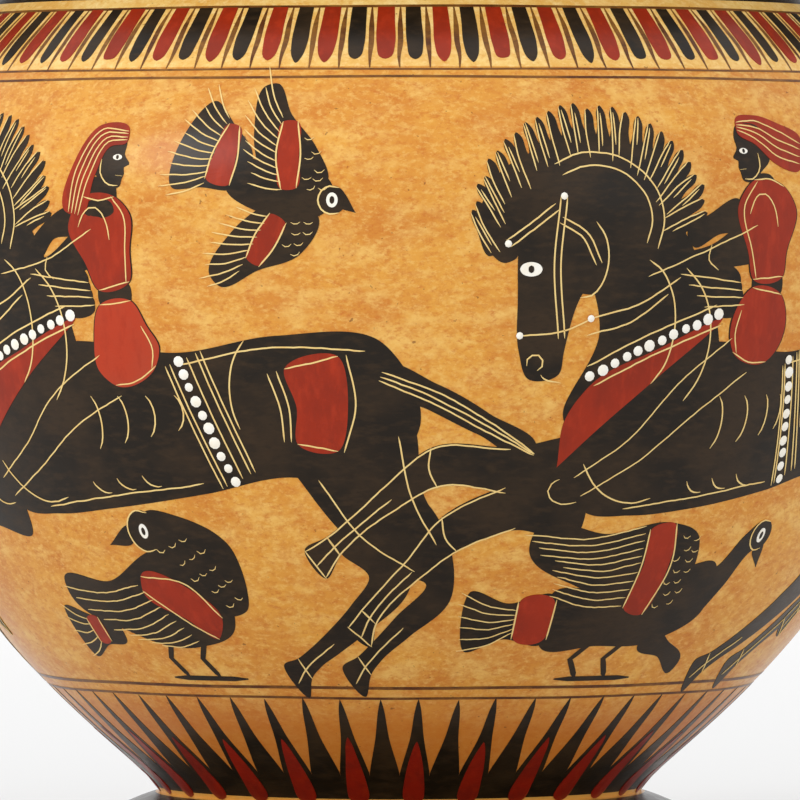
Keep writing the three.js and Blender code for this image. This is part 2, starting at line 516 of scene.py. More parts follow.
WATER_BIRD = {
    "limbs": [
        [(-62, 84, 14), (-36, 84, 17), (-8, 88, 22), (8, 93, 15)],
        [(-73, 109, 3), (-46, 101, 18), (-22, 98, 30), (-7, 99, 20)],
        [(0, 88, 16), (11, 96, 10), (18, 106, 8), (23, 109, 8)],
        [(-60, 84, 14), (-78, 83.5, 11), (-93, 83.5, 18)],
        [(-14, 78, 5), (0, 74, 5), (14, 68, 1)],
    ],
    "head": (23, 108.5, 5, 4.6),
    "beak": [(26, 106), (28.5, 98.5), (22.5, 104)],
    "bars": [[(-24, 112, 9), (-22, 100, 11), (-25, 86, 9)], [(-66.5, 90, 13), (-66.5, 78, 13)]],
    "fans": [
        ([(-74, 110), (-58, 100)], [(-31, 112), (-29, 101)], 6, 4),
        ([(-60, 99), (-60, 91)], [(-29, 98), (-31, 88)], 5, 3),
        ([(-94, 92), (-94, 75)], [(-74, 87), (-74, 80)], 6, 3),
    ],
    "scales": [([(-15, 110), (-17, 88)], [(-5, 108), (-7, 90)], 7, 1.7)],
    "legs": [[(-35, 79), (-45, 71.5, 1), (-39, 65.5)], [(-19, 79), (-29, 71.5, 1), (-24, 65.5)]],
    "rest": [(-49, 65.4), (-10, 65.4)],
}

# Place of each rider's waist, which way the rider looks, and how much shorter that horse's back is.
UNITS = [(-88, "back", 0), (119, "ahead", 13), (334, "back", 0), (549, "ahead", 4), (751, "back", 13)]

# How far each layer stands off the clay.
LIFT_LINE = 0.07
LIFT_BLACK = 0.10
LIFT_RED = 0.19
LIFT_SCRATCH = 0.25
LIFT_WHITE = 0.28
SCALE_PITCH = 4.4  # from one scale mark to the next in a row


def limb(spine):
    """Outline of a tapering limb, worked out from its middle line and widths."""
    middles = [Vector(point[:2]) for point in spine]
    left, right = [], []
    for k, middle in enumerate(middles):
        way = (middles[min(k + 1, len(spine) - 1)] - middles[max(k - 1, 0)]).normalized()
        side = Vector((-way.y, way.x)) * spine[k][2] / 2
        left.append(tuple(middle + side))
        right.append(tuple(middle - side))
    return left + right[::-1]


def lengthwise(spine, share):
    """A line that runs along a limb: a share of 1 or -1 is an edge, and 0 the middle."""
    outline = limb(spine)
    pairs = zip(outline[: len(spine)], outline[len(spine) :][::-1])
    return [tuple(Vector(a).lerp(Vector(b), (1 - share) / 2)) for a, b in pairs]


def crosswise(spine, place, bow=0.0):
    """A line across a limb at one of its points, bowed by a share of its length."""
    outline = limb(spine)
    a, b = Vector(outline[place % len(spine)]), Vector(outline[-1 - place % len(spine)])
    middle = (a + b) / 2 + Vector(((a - b).y, (b - a).x)) * bow
    return [tuple(a), tuple(middle), tuple(b)]


def arc(u, z, across, up, start, end, count=7):
    """Part of an oval, between two directions in degrees."""
    turns = [math.radians(start + (end - start) * k / (count - 1)) for k in range(count)]
    return [(u + across * math.cos(turn), z + up * math.sin(turn)) for turn in turns]


def beside(points, gap):
    """A line that keeps a gap to one side of another."""
    edge = smooth(points, closed=False, step=4)
    steps = [b - a for a, b in zip(edge, edge[1:])]
    steps.append(steps[-1])
    return [(p.x - d.y / d.length * gap, p.y + d.x / d.length * gap) for p, d in zip(edge, steps)]


class Painting:
    """The layers that the figures fill."""

    def __init__(self):
        self.black, self.red, self.white = Layer(), Layer(), Layer()
        self.horse_lines, self.rider_lines, self.bird_lines = Layer(), Layer(), Layer()
        self.random = random.Random(7)

    def scratch(self, layer, points, at, width=1.0, wobble=0.12):
        """A line scratched by hand: it wavers a little and thins out at both ends."""
        line = smooth(moved(points, at), closed=False, step=1.7)
        waver, drift = [], 0.0
        for p in line:
            drift = 0.7 * drift + self.random.uniform(-wobble, wobble)
            waver.append((p[0], p[1] + drift))
        layer.stroke(waver, sizes().line_width / MM * width, LIFT_SCRATCH)

    def eye(self, u, z, across, up, pupil=0.42):
        """A white oval with a black one in it."""
        self.white.area([smooth(loop(u, z, across, up, 10), step=0.6)], LIFT_WHITE)
        inner = loop(u, z, min(across, up) * pupil, up * pupil * 1.3, 8)
        self.black.area([smooth(inner, step=0.5)], LIFT_WHITE + 0.06)


def mane_spikes(draw):
    """Outlines of the stiff locks from forelock to withers, and a hair line along each."""
    outlines, hairs = [], []
    for k in range(LOCKS):
        t = k / (LOCKS - 1)
        place = math.radians(176 - 172 * t)
        reach = draw.uniform(-1.1, 0.8)
        point = math.radians(122 - 28 * t - 72 * t * t + draw.uniform(-4, 4))
        way = Vector((math.cos(point), math.sin(point)))
        tip = Vector((CREST[0] + MANE_ACROSS * math.cos(place), CREST[1] + MANE_UP * math.sin(place)))
        tip += way * reach
        root = tip - way * (14.5 + 2.5 * max(0.0, t - 0.5))
        across = Vector((-way.y, way.x))
        bend = across * draw.uniform(-0.4, 0.4)
        outlines.append(
            [
                root + across * 2.0,
                tip - way * 6 + across * 1.55 + bend,
                tip - way * 1.2 + across * 1.0,
                tip,
                tip - way * 1.2 - across * 1.0,
                tip - way * 6 - across * 1.55 + bend,
                root - across * 2.0,
            ]
        )
        side = across * 1.35
        start = root - way * draw.uniform(-1, 3) + side
        hairs.append([start, tip - way * 6 + side + bend, tip - way * 0.4 + side * 0.6])
        if k % 3 != 1:
            start = draw.uniform(2, 6)
            hairs.append([root + way * start + across * 0.1, tip - way * draw.uniform(0, 3) + across * 0.15])
    for k in range(4):  # short locks that stand out over the withers
        root = Vector((-29 + 3 * k, 187 - 3.2 * k))
        tip = root + Vector((19 - 2.4 * k, -2.5 + 1.0 * k))
        rise = Vector((0, 1.3))
        outlines.append([root + rise, tip + rise * 0.7, tip, tip - rise * 0.7, root - rise])
        hairs.append([root + Vector((-3, 0)), tip])
    return outlines, hairs


def horse_lines():
    """The scratched lines of a horse: crest, jaw, ribs, flank, harness, and the joints of each leg."""
    lines = [arc(*CREST, 22 - gap, 20 - gap, 125, -25) for gap in (0, 4)]
    lines += [arc(-64, 192, 8, 12, 60, -95), arc(-78, 161, 2.6, 2.4, -70, 200), arc(-68, 158, 8, 3, 190, 260)]
    lines += [arc(-16 + 10 * k, 143 + k, 5, 9 - k, 60, -60) for k in range(4)]
    lines += [arc(-14 + 10 * k, 127 + k, 6, 5, 200, 280) for k in range(3)]
    lines += [arc(48, 152, 13, 19, 125, 215), arc(-40, 143, 22, 24, 210, 290), arc(-46, 172, 13, 20, 75, -60)]
    lines += [lengthwise(BARREL[1:4], -0.86), lengthwise(BARREL[3:6], 0.84)]
    lines += [crosswise(RED_HAUNCH, 0), crosswise(RED_HAUNCH, -1)]
    lines += [lengthwise(RED_HAUNCH, share) for share in (1.3, -1.3, -1.65)]
    lines += [beside(CHEEK_STRAP, gap) for gap in (-1, 1)] + [beside(BROW_BAND, gap) for gap in (-1.1, 1.1)]
    lines += [beside(THROAT_STRAP, gap) for gap in (-1, 1)] + [arc(-40, 168, 20, 24, 60, -50)]
    lines += [NOSE_BAND, *REINS, lengthwise(TAIL, 0.45), lengthwise(TAIL, 0), lengthwise(TAIL, -0.45)]
    lines += [lengthwise(HAUNCH[1:], 0.7), lengthwise(HAUNCH[1:], -0.75)]
    for leg in LEGS:
        lines += [crosswise(leg, -2), lengthwise(leg[3:], 0.1)]
    for leg in (FORE_HIGH, FORE_LOW):
        lines += [lengthwise(leg[1:], share) for share in (0.94, -0.94)]
        lines += [crosswise(leg, 2, 0.15), crosswise(leg, -2), crosswise(leg, -1)]
    for gap in (-3.1, 3.1):
        lines.append(beside(NECK_STRAP, gap))
    for gap in (-4.8, -3.1, 3.1, 6.3, 8.0):
        lines.append(beside(GIRTH_STRAP, gap))
    return lines


def paint_horse(painting, at, lift, shorter):
    """A galloping horse with its mane, harness, red breast and haunch patch."""

    def placed(points):
        out = []
        for p in points:
            t = min(1.0, max(0.0, p[0] / 40))
            out.append((p[0] + at - shorter * t * t * (3 - 2 * t), *p[1:]))
        return out

    spikes, hairs = mane_spikes(painting.random)
    limbs = [limb(spine) for spine in [HEAD, NECK, BARREL, HAUNCH, TAIL, FORELOCK, *LEGS]]
    outlines = [smooth(placed(o)) for o in [*limbs, loop(*CREST, 24.5, 22), *spikes]]
    painting.black.area(outlines, lift)
    for hair in hairs:
        painting.scratch(painting.horse_lines, hair, at, width=0.85)
    for points in (RED_BREAST, limb(RED_HAUNCH)):
        painting.red.area([smooth(placed(points))], LIFT_RED)
    for points in horse_lines():
        painting.scratch(painting.horse_lines, placed(points), 0)
    for strap, count in ((NECK_STRAP, 12), (GIRTH_STRAP, 10)):
        for p in along(strap, count):
            radius = sizes().dot_radius / MM * painting.random.uniform(0.82, 1.12)
            shift = Vector((painting.random.uniform(-0.3, 0.3), painting.random.uniform(-0.25, 0.25)))
            ((u, z),) = placed([tuple(p + shift)])
            painting.white.dot(u, z, radius, LIFT_WHITE)
    painting.eye(at - 80, 188.5, 3.4, 2.1)
    for u, z in (BROW_BAND[0], CHEEK_STRAP[0], NOSE_BAND[0], NOSE_BAND[-1]):
        painting.white.dot(u + at, z, 1.1, LIFT_WHITE, 8)


def paint_rider(painting, rider, at, lift):
    """A rider in a belted red tunic and skirt, with long red hair and the plain profile."""
    side = rider["side"]
    arm, hair, tunic, skirt, leg = (rider[name] for name in ("arm", "hair", "tunic", "skirt", "leg"))

    def face(points):
        return [(rider["head"][0] + side * u + at, rider["head"][1] + z) for u, z in points]

    rims = [[(u, z, width + 0.8) for u, z, width in spine] for spine in (tunic, skirt)]
    dark = [face(PROFILE)]
    dark += [moved(limb(spine), at) for spine in [*rider["skin"], arm, *rims, [tunic[-1], skirt[0]]]]
    painting.black.area([smooth(outline) for outline in dark], lift + 0.01)
    painting.red.area([smooth(moved(limb(tunic), at))], LIFT_RED + 0.01)
    painting.red.area([smooth(moved(limb(hair), at))], LIFT_RED + 0.02)
    painting.red.area([smooth(moved(limb(skirt), at))], LIFT_RED + 0.01, tint=1 if side > 0 else 0)
    lines = [crosswise(tunic, 0, 0.1 * side), crosswise(tunic, -1), crosswise(skirt, 0)]
    lines += [crosswise(skirt, -1, 0.1), lengthwise(skirt[1:], 0.8 * side)]
    lines += [arc(tunic[1][0] - 2, tunic[1][1] - 8, 6, 12, 150, 10), lengthwise(tunic, 0.8 * side)]
    lines += [lengthwise(hair, share) for share in (-0.6, -0.2, 0.2, 0.6)]
    lines += [lengthwise(arm, -0.75), crosswise(arm, 1, 0.3), lengthwise(leg, 0.9), lengthwise(leg, -0.9)]
    lines += [arc(leg[-1][0] - 3, leg[-1][1] - 1, 7, 4, 120, 300)]
    for points in lines:
        painting.scratch(painting.rider_lines, points, at, width=0.85)
    painting.scratch(painting.rider_lines, face([(6.4, -4.9), (4, -4.7)]), 0, width=0.85)
    painting.scratch(painting.rider_lines, face([(-1.5, 0), (-1.5, -4), (2, -7.6), (5, -7.8)]), 0, width=0.85)
    ((u, z),) = face([(4, 0.6)])
    painting.eye(u, z, 1.6, 0.85, 0.6)


def paint_bird(painting, bird, at, lift):
    """A bird with fanned feathers, red wing bands, scale marks and an oval eye."""
    head_u, head_z, head_across, head_up = bird["head"]
    dark = [limb(spine) for spine in bird["limbs"]] + [loop(*bird["head"])]
    painting.black.area([smooth(moved(outline, at)) for outline in dark], lift + 0.015)
    tip = bird["beak"][1]
    painting.black.area([smooth(moved([bird["beak"][0], (*tip, 1), bird["beak"][2]], at))], lift + 0.015)
    for bar in bird["bars"]:
        painting.red.area([smooth(moved(limb(bar), at))], LIFT_RED)
        for share in (-1.15, 1.15):
            painting.scratch(painting.bird_lines, lengthwise(bar, share), at)
    for tips, roots, count, overshoot in bird["fans"]:
        for a, b in zip(along(tips, count), along(roots, count)):
            out = (a - b).normalized() * (overshoot * painting.random.uniform(0.3, 1.2))
            bow = Vector(((a - b).y, (b - a).x)) * -0.06
            painting.scratch(painting.bird_lines, [a + out, (a + b) / 2 + bow, b], at, width=0.85)
    painting.scratch(painting.bird_lines, arc(head_u, head_z, head_across, head_up, 60, 300), at)
    for left, right, rows, radius in bird["scales"]:
        for row, (a, b) in enumerate(zip(along(left, rows), along(right, rows))):
            columns = max(1, round((b - a).length / SCALE_PITCH))
            for column in range(columns):
                stagger = 0.35 + 0.4 * (row % 2) + painting.random.uniform(-0.12, 0.12)
                middle = a.lerp(b, (column + stagger) / columns)
                tilt = painting.random.uniform(-20, 15)
                bite = painting.random.uniform(105, 145)
                mark = arc(middle.x, middle.y, radius, radius * 0.8, -18 - tilt, -18 - tilt - bite, 4)
                painting.scratch(painting.bird_lines, mark, at, width=0.85, wobble=0.1)
    for leg in bird["legs"]:
        painting.black.stroke(smooth(moved(leg, at), closed=False, step=2), 1.8, lift, taper=1)
    if "rest" in bird:
        painting.black.stroke(along(moved(bird["rest"], at), 12), 2.0, lift, taper=6)
    painting.eye(head_u + at, head_z, 1.7, 2.2)


# ---------------------------------------------------------------- materials

THIN_SHARE = 0.7  # the most that the shade of thin slip takes over
DARK = (0.01, 0.008, 0.006)


def add_node(tree, kind, inputs=None, **settings):
    """A new shader node with its settings, and its inputs set to values or linked to sockets."""
    node = tree.nodes.new(kind)
    for name, value in settings.items():
        setattr(node, name, value)
    for name, value in (inputs or {}).items():
        if isinstance(value, bpy.types.NodeSocket):
            tree.links.new(value, node.inputs[name])
        else:
            node.inputs[name].default_value = value
    return node


def rgba(colour):
    return (*colour, 1.0)


def new_material(name, **constants):
    """A material with a bare principled shader, whose constant values are set on its own sockets."""
    material = bpy.data.materials.new(name)
    material.use_nodes = True
    tree = material.node_tree
    shader = tree.nodes["Principled BSDF"]
    for socket, value in constants.items():
        shader.inputs[socket.replace("_", " ")].default_value = value
    return material, tree, shader


def noise(tree, size_mm, up=1.0, detail=3.0, roughness=0.55, offset=0.0):
    """Noise whose features are about size_mm across, and up times thinner in height."""
    place = add_node(tree, "ShaderNodeTexCoord").outputs["Object"]
    turn = {"Vector": place, "Scale": (1, 1, up), "Location": (offset, offset, offset)}
    place = add_node(tree, "ShaderNodeMapping", turn).outputs["Vector"]
    return add_node(
        tree,
        "ShaderNodeTexNoise",
        {"Vector": place, "Scale": 1 / (size_mm * MM), "Detail": detail, "Roughness": roughness},
    ).outputs["Fac"]


def spread(tree, value, low, high, to_low=0.0, to_high=1.0):
    """A value's range stretched to another, and clamped."""
    return add_node(
        tree,
        "ShaderNodeMapRange",
        {"Value": value, "From Min": low, "From Max": high, "To Min": to_low, "To Max": to_high},
    ).outputs["Result"]


def mixed(tree, share, first, second):
    """One colour mixed into another by a share."""
    node = add_node(tree, "ShaderNodeMix", data_type="RGBA")
    for socket, value in ((0, share), (6, first), (7, second)):
        if isinstance(value, bpy.types.NodeSocket):
            tree.links.new(value, node.inputs[socket])
        else:
            node.inputs[socket].default_value = value
    return node.outputs[2]


def bumped(tree, shader, height, distance_mm, strength):
    """Gives a shader fine relief from a height."""
    normal = add_node(
        tree, "ShaderNodeBump", {"Height": height, "Distance": distance_mm * MM, "Strength": strength}
    ).outputs["Normal"]
    tree.links.new(normal, shader.inputs["Normal"])


def varnished_clay(name, pale):
    """Fired clay, sponged with ochre and varnished: mottled, with fine marks along the wheel's turn, and
    darkened low on the bowl by painted shade.
    """
    material, tree, shader = new_material(
        name, Specular_IOR_Level=0.1, Coat_Weight=0.6, Coat_Roughness=0.2, Coat_IOR=1.3
    )
    c = colours()
    ground, dark, light = rgba(c.clay), rgba(c.clay_dark), rgba(c.clay_pale)
    if pale:
        ground, dark, light = light, ground, rgba(c.clay_light)
    broad = spread(tree, noise(tree, 26, 1.4, 4), 0.42, 0.64, 0, 0.5)
    colour = mixed(tree, broad, ground, dark)
    colour = mixed(tree, spread(tree, noise(tree, 13, 2, 5, 0.65, 3.1), 0.48, 0.66, 0, 0.55), colour, light)
    sponge = noise(tree, 4.5, 1.25, 7, 0.75, 7.7)
    colour = mixed(tree, spread(tree, sponge, 0.47, 0.66, 0, 0.55), colour, dark)
    fibre = noise(tree, 2.2, 1.6, 5, 0.7, 1.3)
    colour = mixed(tree, spread(tree, fibre, 0.5, 0.66, 0, 0.5), colour, light)
    colour = mixed(tree, spread(tree, noise(tree, 2.6, 1.7, 5, 0.7, 5.2), 0.53, 0.68, 0, 0.65), colour, dark)
    # Painted shade: below 63 mm the clay is mixed towards its darker colour, where the bowl's underside gets
    # less light.
    height = add_node(
        tree, "ShaderNodeSeparateXYZ", {"Vector": add_node(tree, "ShaderNodeTexCoord").outputs["Object"]}
    ).outputs["Z"]
    colour = mixed(tree, spread(tree, height, 0.063, 0.05, 0, 0.75), colour, dark)
    speck = spread(tree, noise(tree, 1.6, 1, 2, 0.5, 9.4), 0.72, 0.76, 0, 0.6)
    colour = mixed(tree, speck, colour, rgba(c.brown))
    tree.links.new(colour, shader.inputs["Base Color"])
    tree.links.new(spread(tree, sponge, 0.3, 0.7, 0.4, 0.6), shader.inputs["Roughness"])
    bumped(tree, shader, noise(tree, 2.2, 2.5, 5, 0.6), 0.25, 0.35)
    return material


def slip(name, main, thin, fresh, streak=3.0):
    """Slip: fine clay and pigment brushed on and fired, glossy, and another shade where it ran thin."""
    material, tree, shader = new_material(
        name, Specular_IOR_Level=0.1, Coat_Weight=0.5, Coat_Roughness=0.22, Coat_IOR=1.3
    )
    brush = noise(tree, 6, streak, 4, 0.6)
    patch = noise(tree, 22, 1.2, 3, 0.5, 4.4)
    colour = mixed(tree, spread(tree, patch, 0.42, 0.66, 0, THIN_SHARE), rgba(main), rgba(thin))
    colour = mixed(tree, spread(tree, brush, 0.48, 0.7, 0, THIN_SHARE), colour, rgba(thin))
    full = spread(tree, noise(tree, 3, streak, 4, 0.6, 2.2), 0.5, 0.72, 0, 0.5)
    colour = mixed(tree, full, colour, rgba(fresh))
    tree.links.new(colour, shader.inputs["Base Color"])
    tree.links.new(spread(tree, brush, 0.3, 0.7, 0.3, 0.46), shader.inputs["Roughness"])
    bumped(tree, shader, noise(tree, 1.8, 3, 4, 0.6), 0.18, 0.3)
    return material


def dry_paint(name, main, worn):
    """Thin matt paint or bare scratched clay, a little uneven along its length."""
    material, tree, shader = new_material(name, Roughness=0.6, Specular_IOR_Level=0.2)
    share = spread(tree, noise(tree, 3, 1, 3), 0.4, 0.75, 0, 0.7)
    tree.links.new(mixed(tree, share, rgba(main), rgba(worn)), shader.inputs["Base Color"])
    bumped(tree, shader, noise(tree, 0.8, 1, 2), 0.08, 0.3)
    return material


def blended(first, second, share):
    return tuple(a + (b - a) * share for a, b in zip(first, second))


def finish(name):
    """The finish of that name, made when it is first asked for."""
    if name in bpy.data.materials:
        return bpy.data.materials[name]
    c = colours()
    makers = {
        # Sponged ochre under varnish: warm and cloudy, with a soft sheen. The pale one is its bare bands.
        "varnished_clay": lambda: varnished_clay("varnished_clay", False),
        "pale_varnished_clay": lambda: varnished_clay("pale_varnished_clay", True),
        # Brushed slip, fired: deep and glossy, browner or darker where the brush ran thin.
        "black_slip": lambda: slip("black_slip", c.black, c.black_thin, c.black),
        "red_slip": lambda: slip("red_slip", c.red, blended(c.red, DARK, 0.3), c.red_bright, 0.4),
        "deep_red_slip": lambda: slip("deep_red_slip", c.ray_red, blended(c.ray_red, DARK, 0.4), c.red, 0.4),
        "light_red_slip": lambda: slip("light_red_slip", c.skirt_red, c.red_bright, c.red, 0.4),
        "brown_line": lambda: slip("brown_line", c.brown, blended(c.brown, c.clay, 0.3), c.black),
        # Dry and matt: pale clay in a scratched line, and thick white on top of the slip.
        "scratched_clay": lambda: dry_paint("scratched_clay", c.scratch, blended(c.scratch, c.clay, 0.5)),
        "white_slip": lambda: dry_paint("white_slip", c.white, blended(c.white, c.scratch, 0.35)),
    }
    return makers[name]()


# ---------------------------------------------------------------- operators


def turned(name, outline, steps):
    """A closed form turned on the wheel from points of radius and height in millimetres."""
    data = bpy.data.meshes.new(name)
    points = [(r * MM, 0, z * MM) for r, z in outline]
    data.from_pydata(points, [(k, k + 1) for k in range(len(points) - 1)], [])
    piece = bpy.data.objects.new(name, data)
    bpy.context.scene.collection.objects.link(piece)
    select_only(piece)
    bpy.ops.object.mode_set(mode="EDIT")
    bpy.ops.mesh.select_all(action="SELECT")
    bpy.ops.mesh.spin(steps=steps, angle=2 * math.pi, center=(0, 0, 0), axis=(0, 0, 1))
    bpy.ops.mesh.select_all(action="SELECT")
    bpy.ops.mesh.remove_doubles(threshold=1e-6)
    bpy.ops.mesh.normals_make_consistent(inside=False)
    bpy.ops.object.mode_set(mode="OBJECT")
    return piece


def combine(piece, other, operation):
    """Joins another solid to the piece, or cuts it away, and removes the other."""
    select_only(piece)
    modifier = piece.modifiers.new(operation, "BOOLEAN")
    modifier.operation, modifier.solver, modifier.object = operation, "MANIFOLD", other
    bpy.ops.object.modifier_apply(modifier=modifier.name)
    bpy.data.objects.remove(other)


TURN_STEPS = 256
POT_SMOOTH_ANGLE = 38  # degrees
# A column runs between two points, and swells by a share of its radius near the shoulder and the plate.
COLUMN = {"low": (150, 30, 236), "high": (159, 30, 311), "radius": 8.5, "steps": 30}
SHOULDER_SWELL = {"share": 0.55, "reach": 5.5}
PLATE_SWELL = {"share": 0.3, "reach": 2.6}
PLATE = {"inner": 122, "reach": 176, "width": 94, "low": 308.03, "high": 319.97, "corner": 7, "bevel": 1.5}


def handle_column(side, front):
    """One column: a disc extruded up its leaning axis, swelling where it meets the shoulder."""
    low, high = (Vector((side * v[0], front * v[1], v[2])) * MM for v in (COLUMN["low"], COLUMN["high"]))
    bpy.ops.object.select_all(action="DESELECT")
    bpy.ops.mesh.primitive_circle_add(
        vertices=40, radius=COLUMN["radius"] * MM, fill_type="NGON", location=(0, 0, 0)
    )
    piece = bpy.context.object
    piece.data.transform(piece.matrix_world)
    bpy.ops.object.mode_set(mode="EDIT")
    bpy.ops.mesh.select_all(action="SELECT")
    bpy.ops.transform.translate(value=low)
    steps = COLUMN["steps"]
    last = 1.0
    for k in range(steps + 1):
        centre = low.lerp(high, k / steps)
        z = centre.z / MM
        clear = math.hypot(centre.x, centre.y) / MM - radius_at(min(z, 269.0))
        shoulder = math.exp(-(max(0.0, clear + 3) / SHOULDER_SWELL["reach"])) * SHOULDER_SWELL["share"]
        under_plate = math.exp(-(max(0.0, PLATE["low"] - z) / PLATE_SWELL["reach"])) * PLATE_SWELL["share"]
        wanted = 1 + shoulder + under_plate
        if k:
            bpy.ops.mesh.extrude_region_move(TRANSFORM_OT_translate={"value": (high - low) / steps})
        bpy.ops.transform.resize(value=(wanted / last, wanted / last, 1), center_override=centre)
        last = wanted
    bpy.ops.mesh.select_all(action="SELECT")
    bpy.ops.mesh.normals_make_consistent(inside=False)
    bpy.ops.object.mode_set(mode="OBJECT")
    return piece


def handle_plate(side):
    """The flat plate on a pair of columns: a slab with rounded corners and softened edges."""
    middle = side * (PLATE["inner"] + PLATE["reach"]) / 2 * MM
    size = ((PLATE["reach"] - PLATE["inner"]) * MM, PLATE["width"] * MM, (PLATE["high"] - PLATE["low"]) * MM)
    bpy.ops.object.select_all(action="DESELECT")
    height = (PLATE["low"] + PLATE["high"]) / 2 * MM
    bpy.ops.mesh.primitive_cube_add(size=1, location=(middle, 0, height), scale=size)
    piece = bpy.context.object
    bpy.ops.object.transform_apply(location=True, rotation=True, scale=True)
    bpy.ops.object.mode_set(mode="EDIT")
    bpy.ops.mesh.select_all(action="DESELECT")
    bpy.ops.object.mode_set(mode="OBJECT")
    for edge in piece.data.edges:
        a, b = (piece.data.vertices[k].co for k in edge.vertices)
        edge.select = abs(a.z - b.z) > MM and abs(a.x) > abs(middle)
    bpy.ops.object.mode_set(mode="EDIT")
    bpy.ops.mesh.bevel(offset=PLATE["corner"] * MM, segments=8)
    bpy.ops.object.mode_set(mode="OBJECT")
    bevel = piece.modifiers.new("soft edge", "BEVEL")
    bevel.width, bevel.segments, bevel.limit_method = PLATE["bevel"] * MM, 3, "ANGLE"
    bpy.ops.object.modifier_apply(modifier=bevel.name)
    return piece


class KRATER_OT_pot(bpy.types.Operator):
    """Turn the pot, join its handles, hollow it and paint its plain bands."""

    bl_idname = "krater.pot"
    bl_label = "Pot and handles"

    def execute(self, context):
        heights = [*FOOT_LINE, RAY_BLACK_TOP, *TONGUE_BAND, NECK_BLACK]
        pot = turned("krater_pot", at_heights(outside_outline(), heights), TURN_STEPS)
        for side in (-1, 1):
            for front in (-1, 1):
                combine(pot, handle_column(side, front), "UNION")
            combine(pot, handle_plate(side), "UNION")
        combine(pot, turned("hollow", inside_outline(), TURN_STEPS), "DIFFERENCE")
        pot.data.materials.clear()
        for name in ("varnished_clay", "pale_varnished_clay", "black_slip"):
            pot.data.materials.append(finish(name))
        for face in pot.data.polygons:
            face.material_index = self.band(face)
        select_only(pot)
        bpy.ops.object.shade_smooth_by_angle(angle=math.radians(POT_SMOOTH_ANGLE))
        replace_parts(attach(pot, "root"), "krater")
        return {"FINISHED"}

    def band(self, face):
        """Number of the finish that covers a face: clay, pale clay or black slip."""
        r, z = math.hypot(face.center.x, face.center.y) / MM, face.center.z / MM
        inside = face.normal.dot(Vector((face.center.x, face.center.y, 0))) < 0
        low, high = FOOT_BOWL_JOINT[1], TONGUE_BAND[1]
        if INSIDE_FLOOR < z < 270 and r < radius_at(max(low, z)) - 2.5:
            return CLAY if z < INSIDE_CLAY_TOP else BLACK
        if r > 1.001 * radius_at(max(low, min(z, high))) + 0.3 and z > 60:
            return BLACK  # a handle, clear of the bowl
        if z < FOOT_LINE[0] or FOOT_LINE[1] < z < RAY_BLACK_TOP or z > high:
            return CLAY if z < 1 or (inside and z < FOOT_HOLLOW) else BLACK
        return PALE_CLAY if TONGUE_BAND[0] < z or z < FOOT_LINE[1] else CLAY


# Half of a ray and of the red at its foot: shares of the half width, and heights.
RAY_START = 9.0
RAY_TIP = 59.7
BLOB_TOP = 46.5
RAY_SIDE = [(1.02, 33.5, 1), (0.98, 36, 1), (0.42, 46.5)]
BLOB_SIDE = [(0.78, 28.6), (0.66, 34), (0.36, 41)]


def both_sides(u, half, side, tip):
    """An outline with the same points on both sides of its middle, and a tip between them."""
    left = [(u - half * share, *rest) for share, *rest in side]
    right = [(u + half * share, *rest) for share, *rest in reversed(side)]
    return left + tip + right


class KRATER_OT_rays(bpy.types.Operator):
    """Paint the pointed rays that rise from the foot, every other one filled with deep red."""

    bl_idname = "krater.rays"
    bl_label = "Rays"

    def execute(self, context):
        black, red = Layer(), Layer()
        draw = random.Random(3)
        count = sizes().rays
        pitch = AROUND / count
        for k in range(count):
            u = RAY_START + pitch * k
            lean = draw.uniform(-0.6, 0.6)
            tip = RAY_TIP + draw.uniform(-0.5, 0.3)
            half = pitch * 0.5
            point = [(u + lean - 0.5, tip - 1), (u + lean, tip, 1), (u + lean + 0.5, tip - 1)]
            black.area([smooth(both_sides(u, half, RAY_SIDE, point))], LIFT_BLACK + 0.01 * (k % 2))
            if k % 2 == 0:
                top = BLOB_TOP + draw.uniform(-1.5, 1.5)
                point = [(u - 1.3, top - 1.5), (u + draw.uniform(-0.3, 0.3), top), (u + 1.3, top - 1.5)]
                red.area([smooth(both_sides(u, half, BLOB_SIDE, point))], LIFT_RED)
        black.mesh("base_rays_black", [finish("black_slip")])
        red.mesh("base_rays_red", [finish("deep_red_slip")])
        return {"FINISHED"}


TONGUE_START = -5.0
TONGUE_END = 250.2
TONGUE_HALF_RED, TONGUE_HALF_BLACK = 3.15, 2.65


class KRATER_OT_tongues(bpy.types.Operator):
    """Paint the red and black tongues that hang round the shoulder, with a brown stroke between."""

    bl_idname = "krater.tongues"
    bl_label = "Tongues"

    def execute(self, context):
        black, red, brown = Layer(), Layer(), Layer()
        draw = random.Random(5)
        count = sizes().tongues
        pitch = AROUND / count
        for k in range(count):
            u = TONGUE_START + pitch * k
            layer, half = (red, TONGUE_HALF_RED) if k % 2 == 0 else (black, TONGUE_HALF_BLACK)
            half *= draw.uniform(0.92, 1.08)
            end = TONGUE_END + draw.uniform(-0.8, 0.8)
            lean = draw.uniform(-0.35, 0.35)
            tongue = [
                (u - half * 0.96, NECK_BLACK, 1), (u - half, 262), (u - half * 0.97 + lean, 255),
                (u - half * 0.62 + lean, 251.2), (u + lean, end), (u + half * 0.62 + lean, 251.4),
                (u + half * 0.97 + lean, 255), (u + half, 262), (u + half * 0.96, NECK_BLACK, 1),
            ]  # fmt: skip
            layer.area([smooth(tongue)], LIFT_BLACK + (0.03 if k % 2 == 0 else 0))
            line = [(u + pitch / 2 + draw.uniform(-0.3, 0.3), z) for z in (NECK_BLACK, 261, 256, 251, 248)]
            brown.stroke(smooth(line, closed=False, step=2), 1.6, LIFT_LINE, taper=12)
        black.mesh("shoulder_tongues_black", [finish("black_slip")])
        red.mesh("shoulder_tongues_red", [finish("red_slip")])
        brown.mesh("tongue_strokes", [finish("brown_line")])
        return {"FINISHED"}


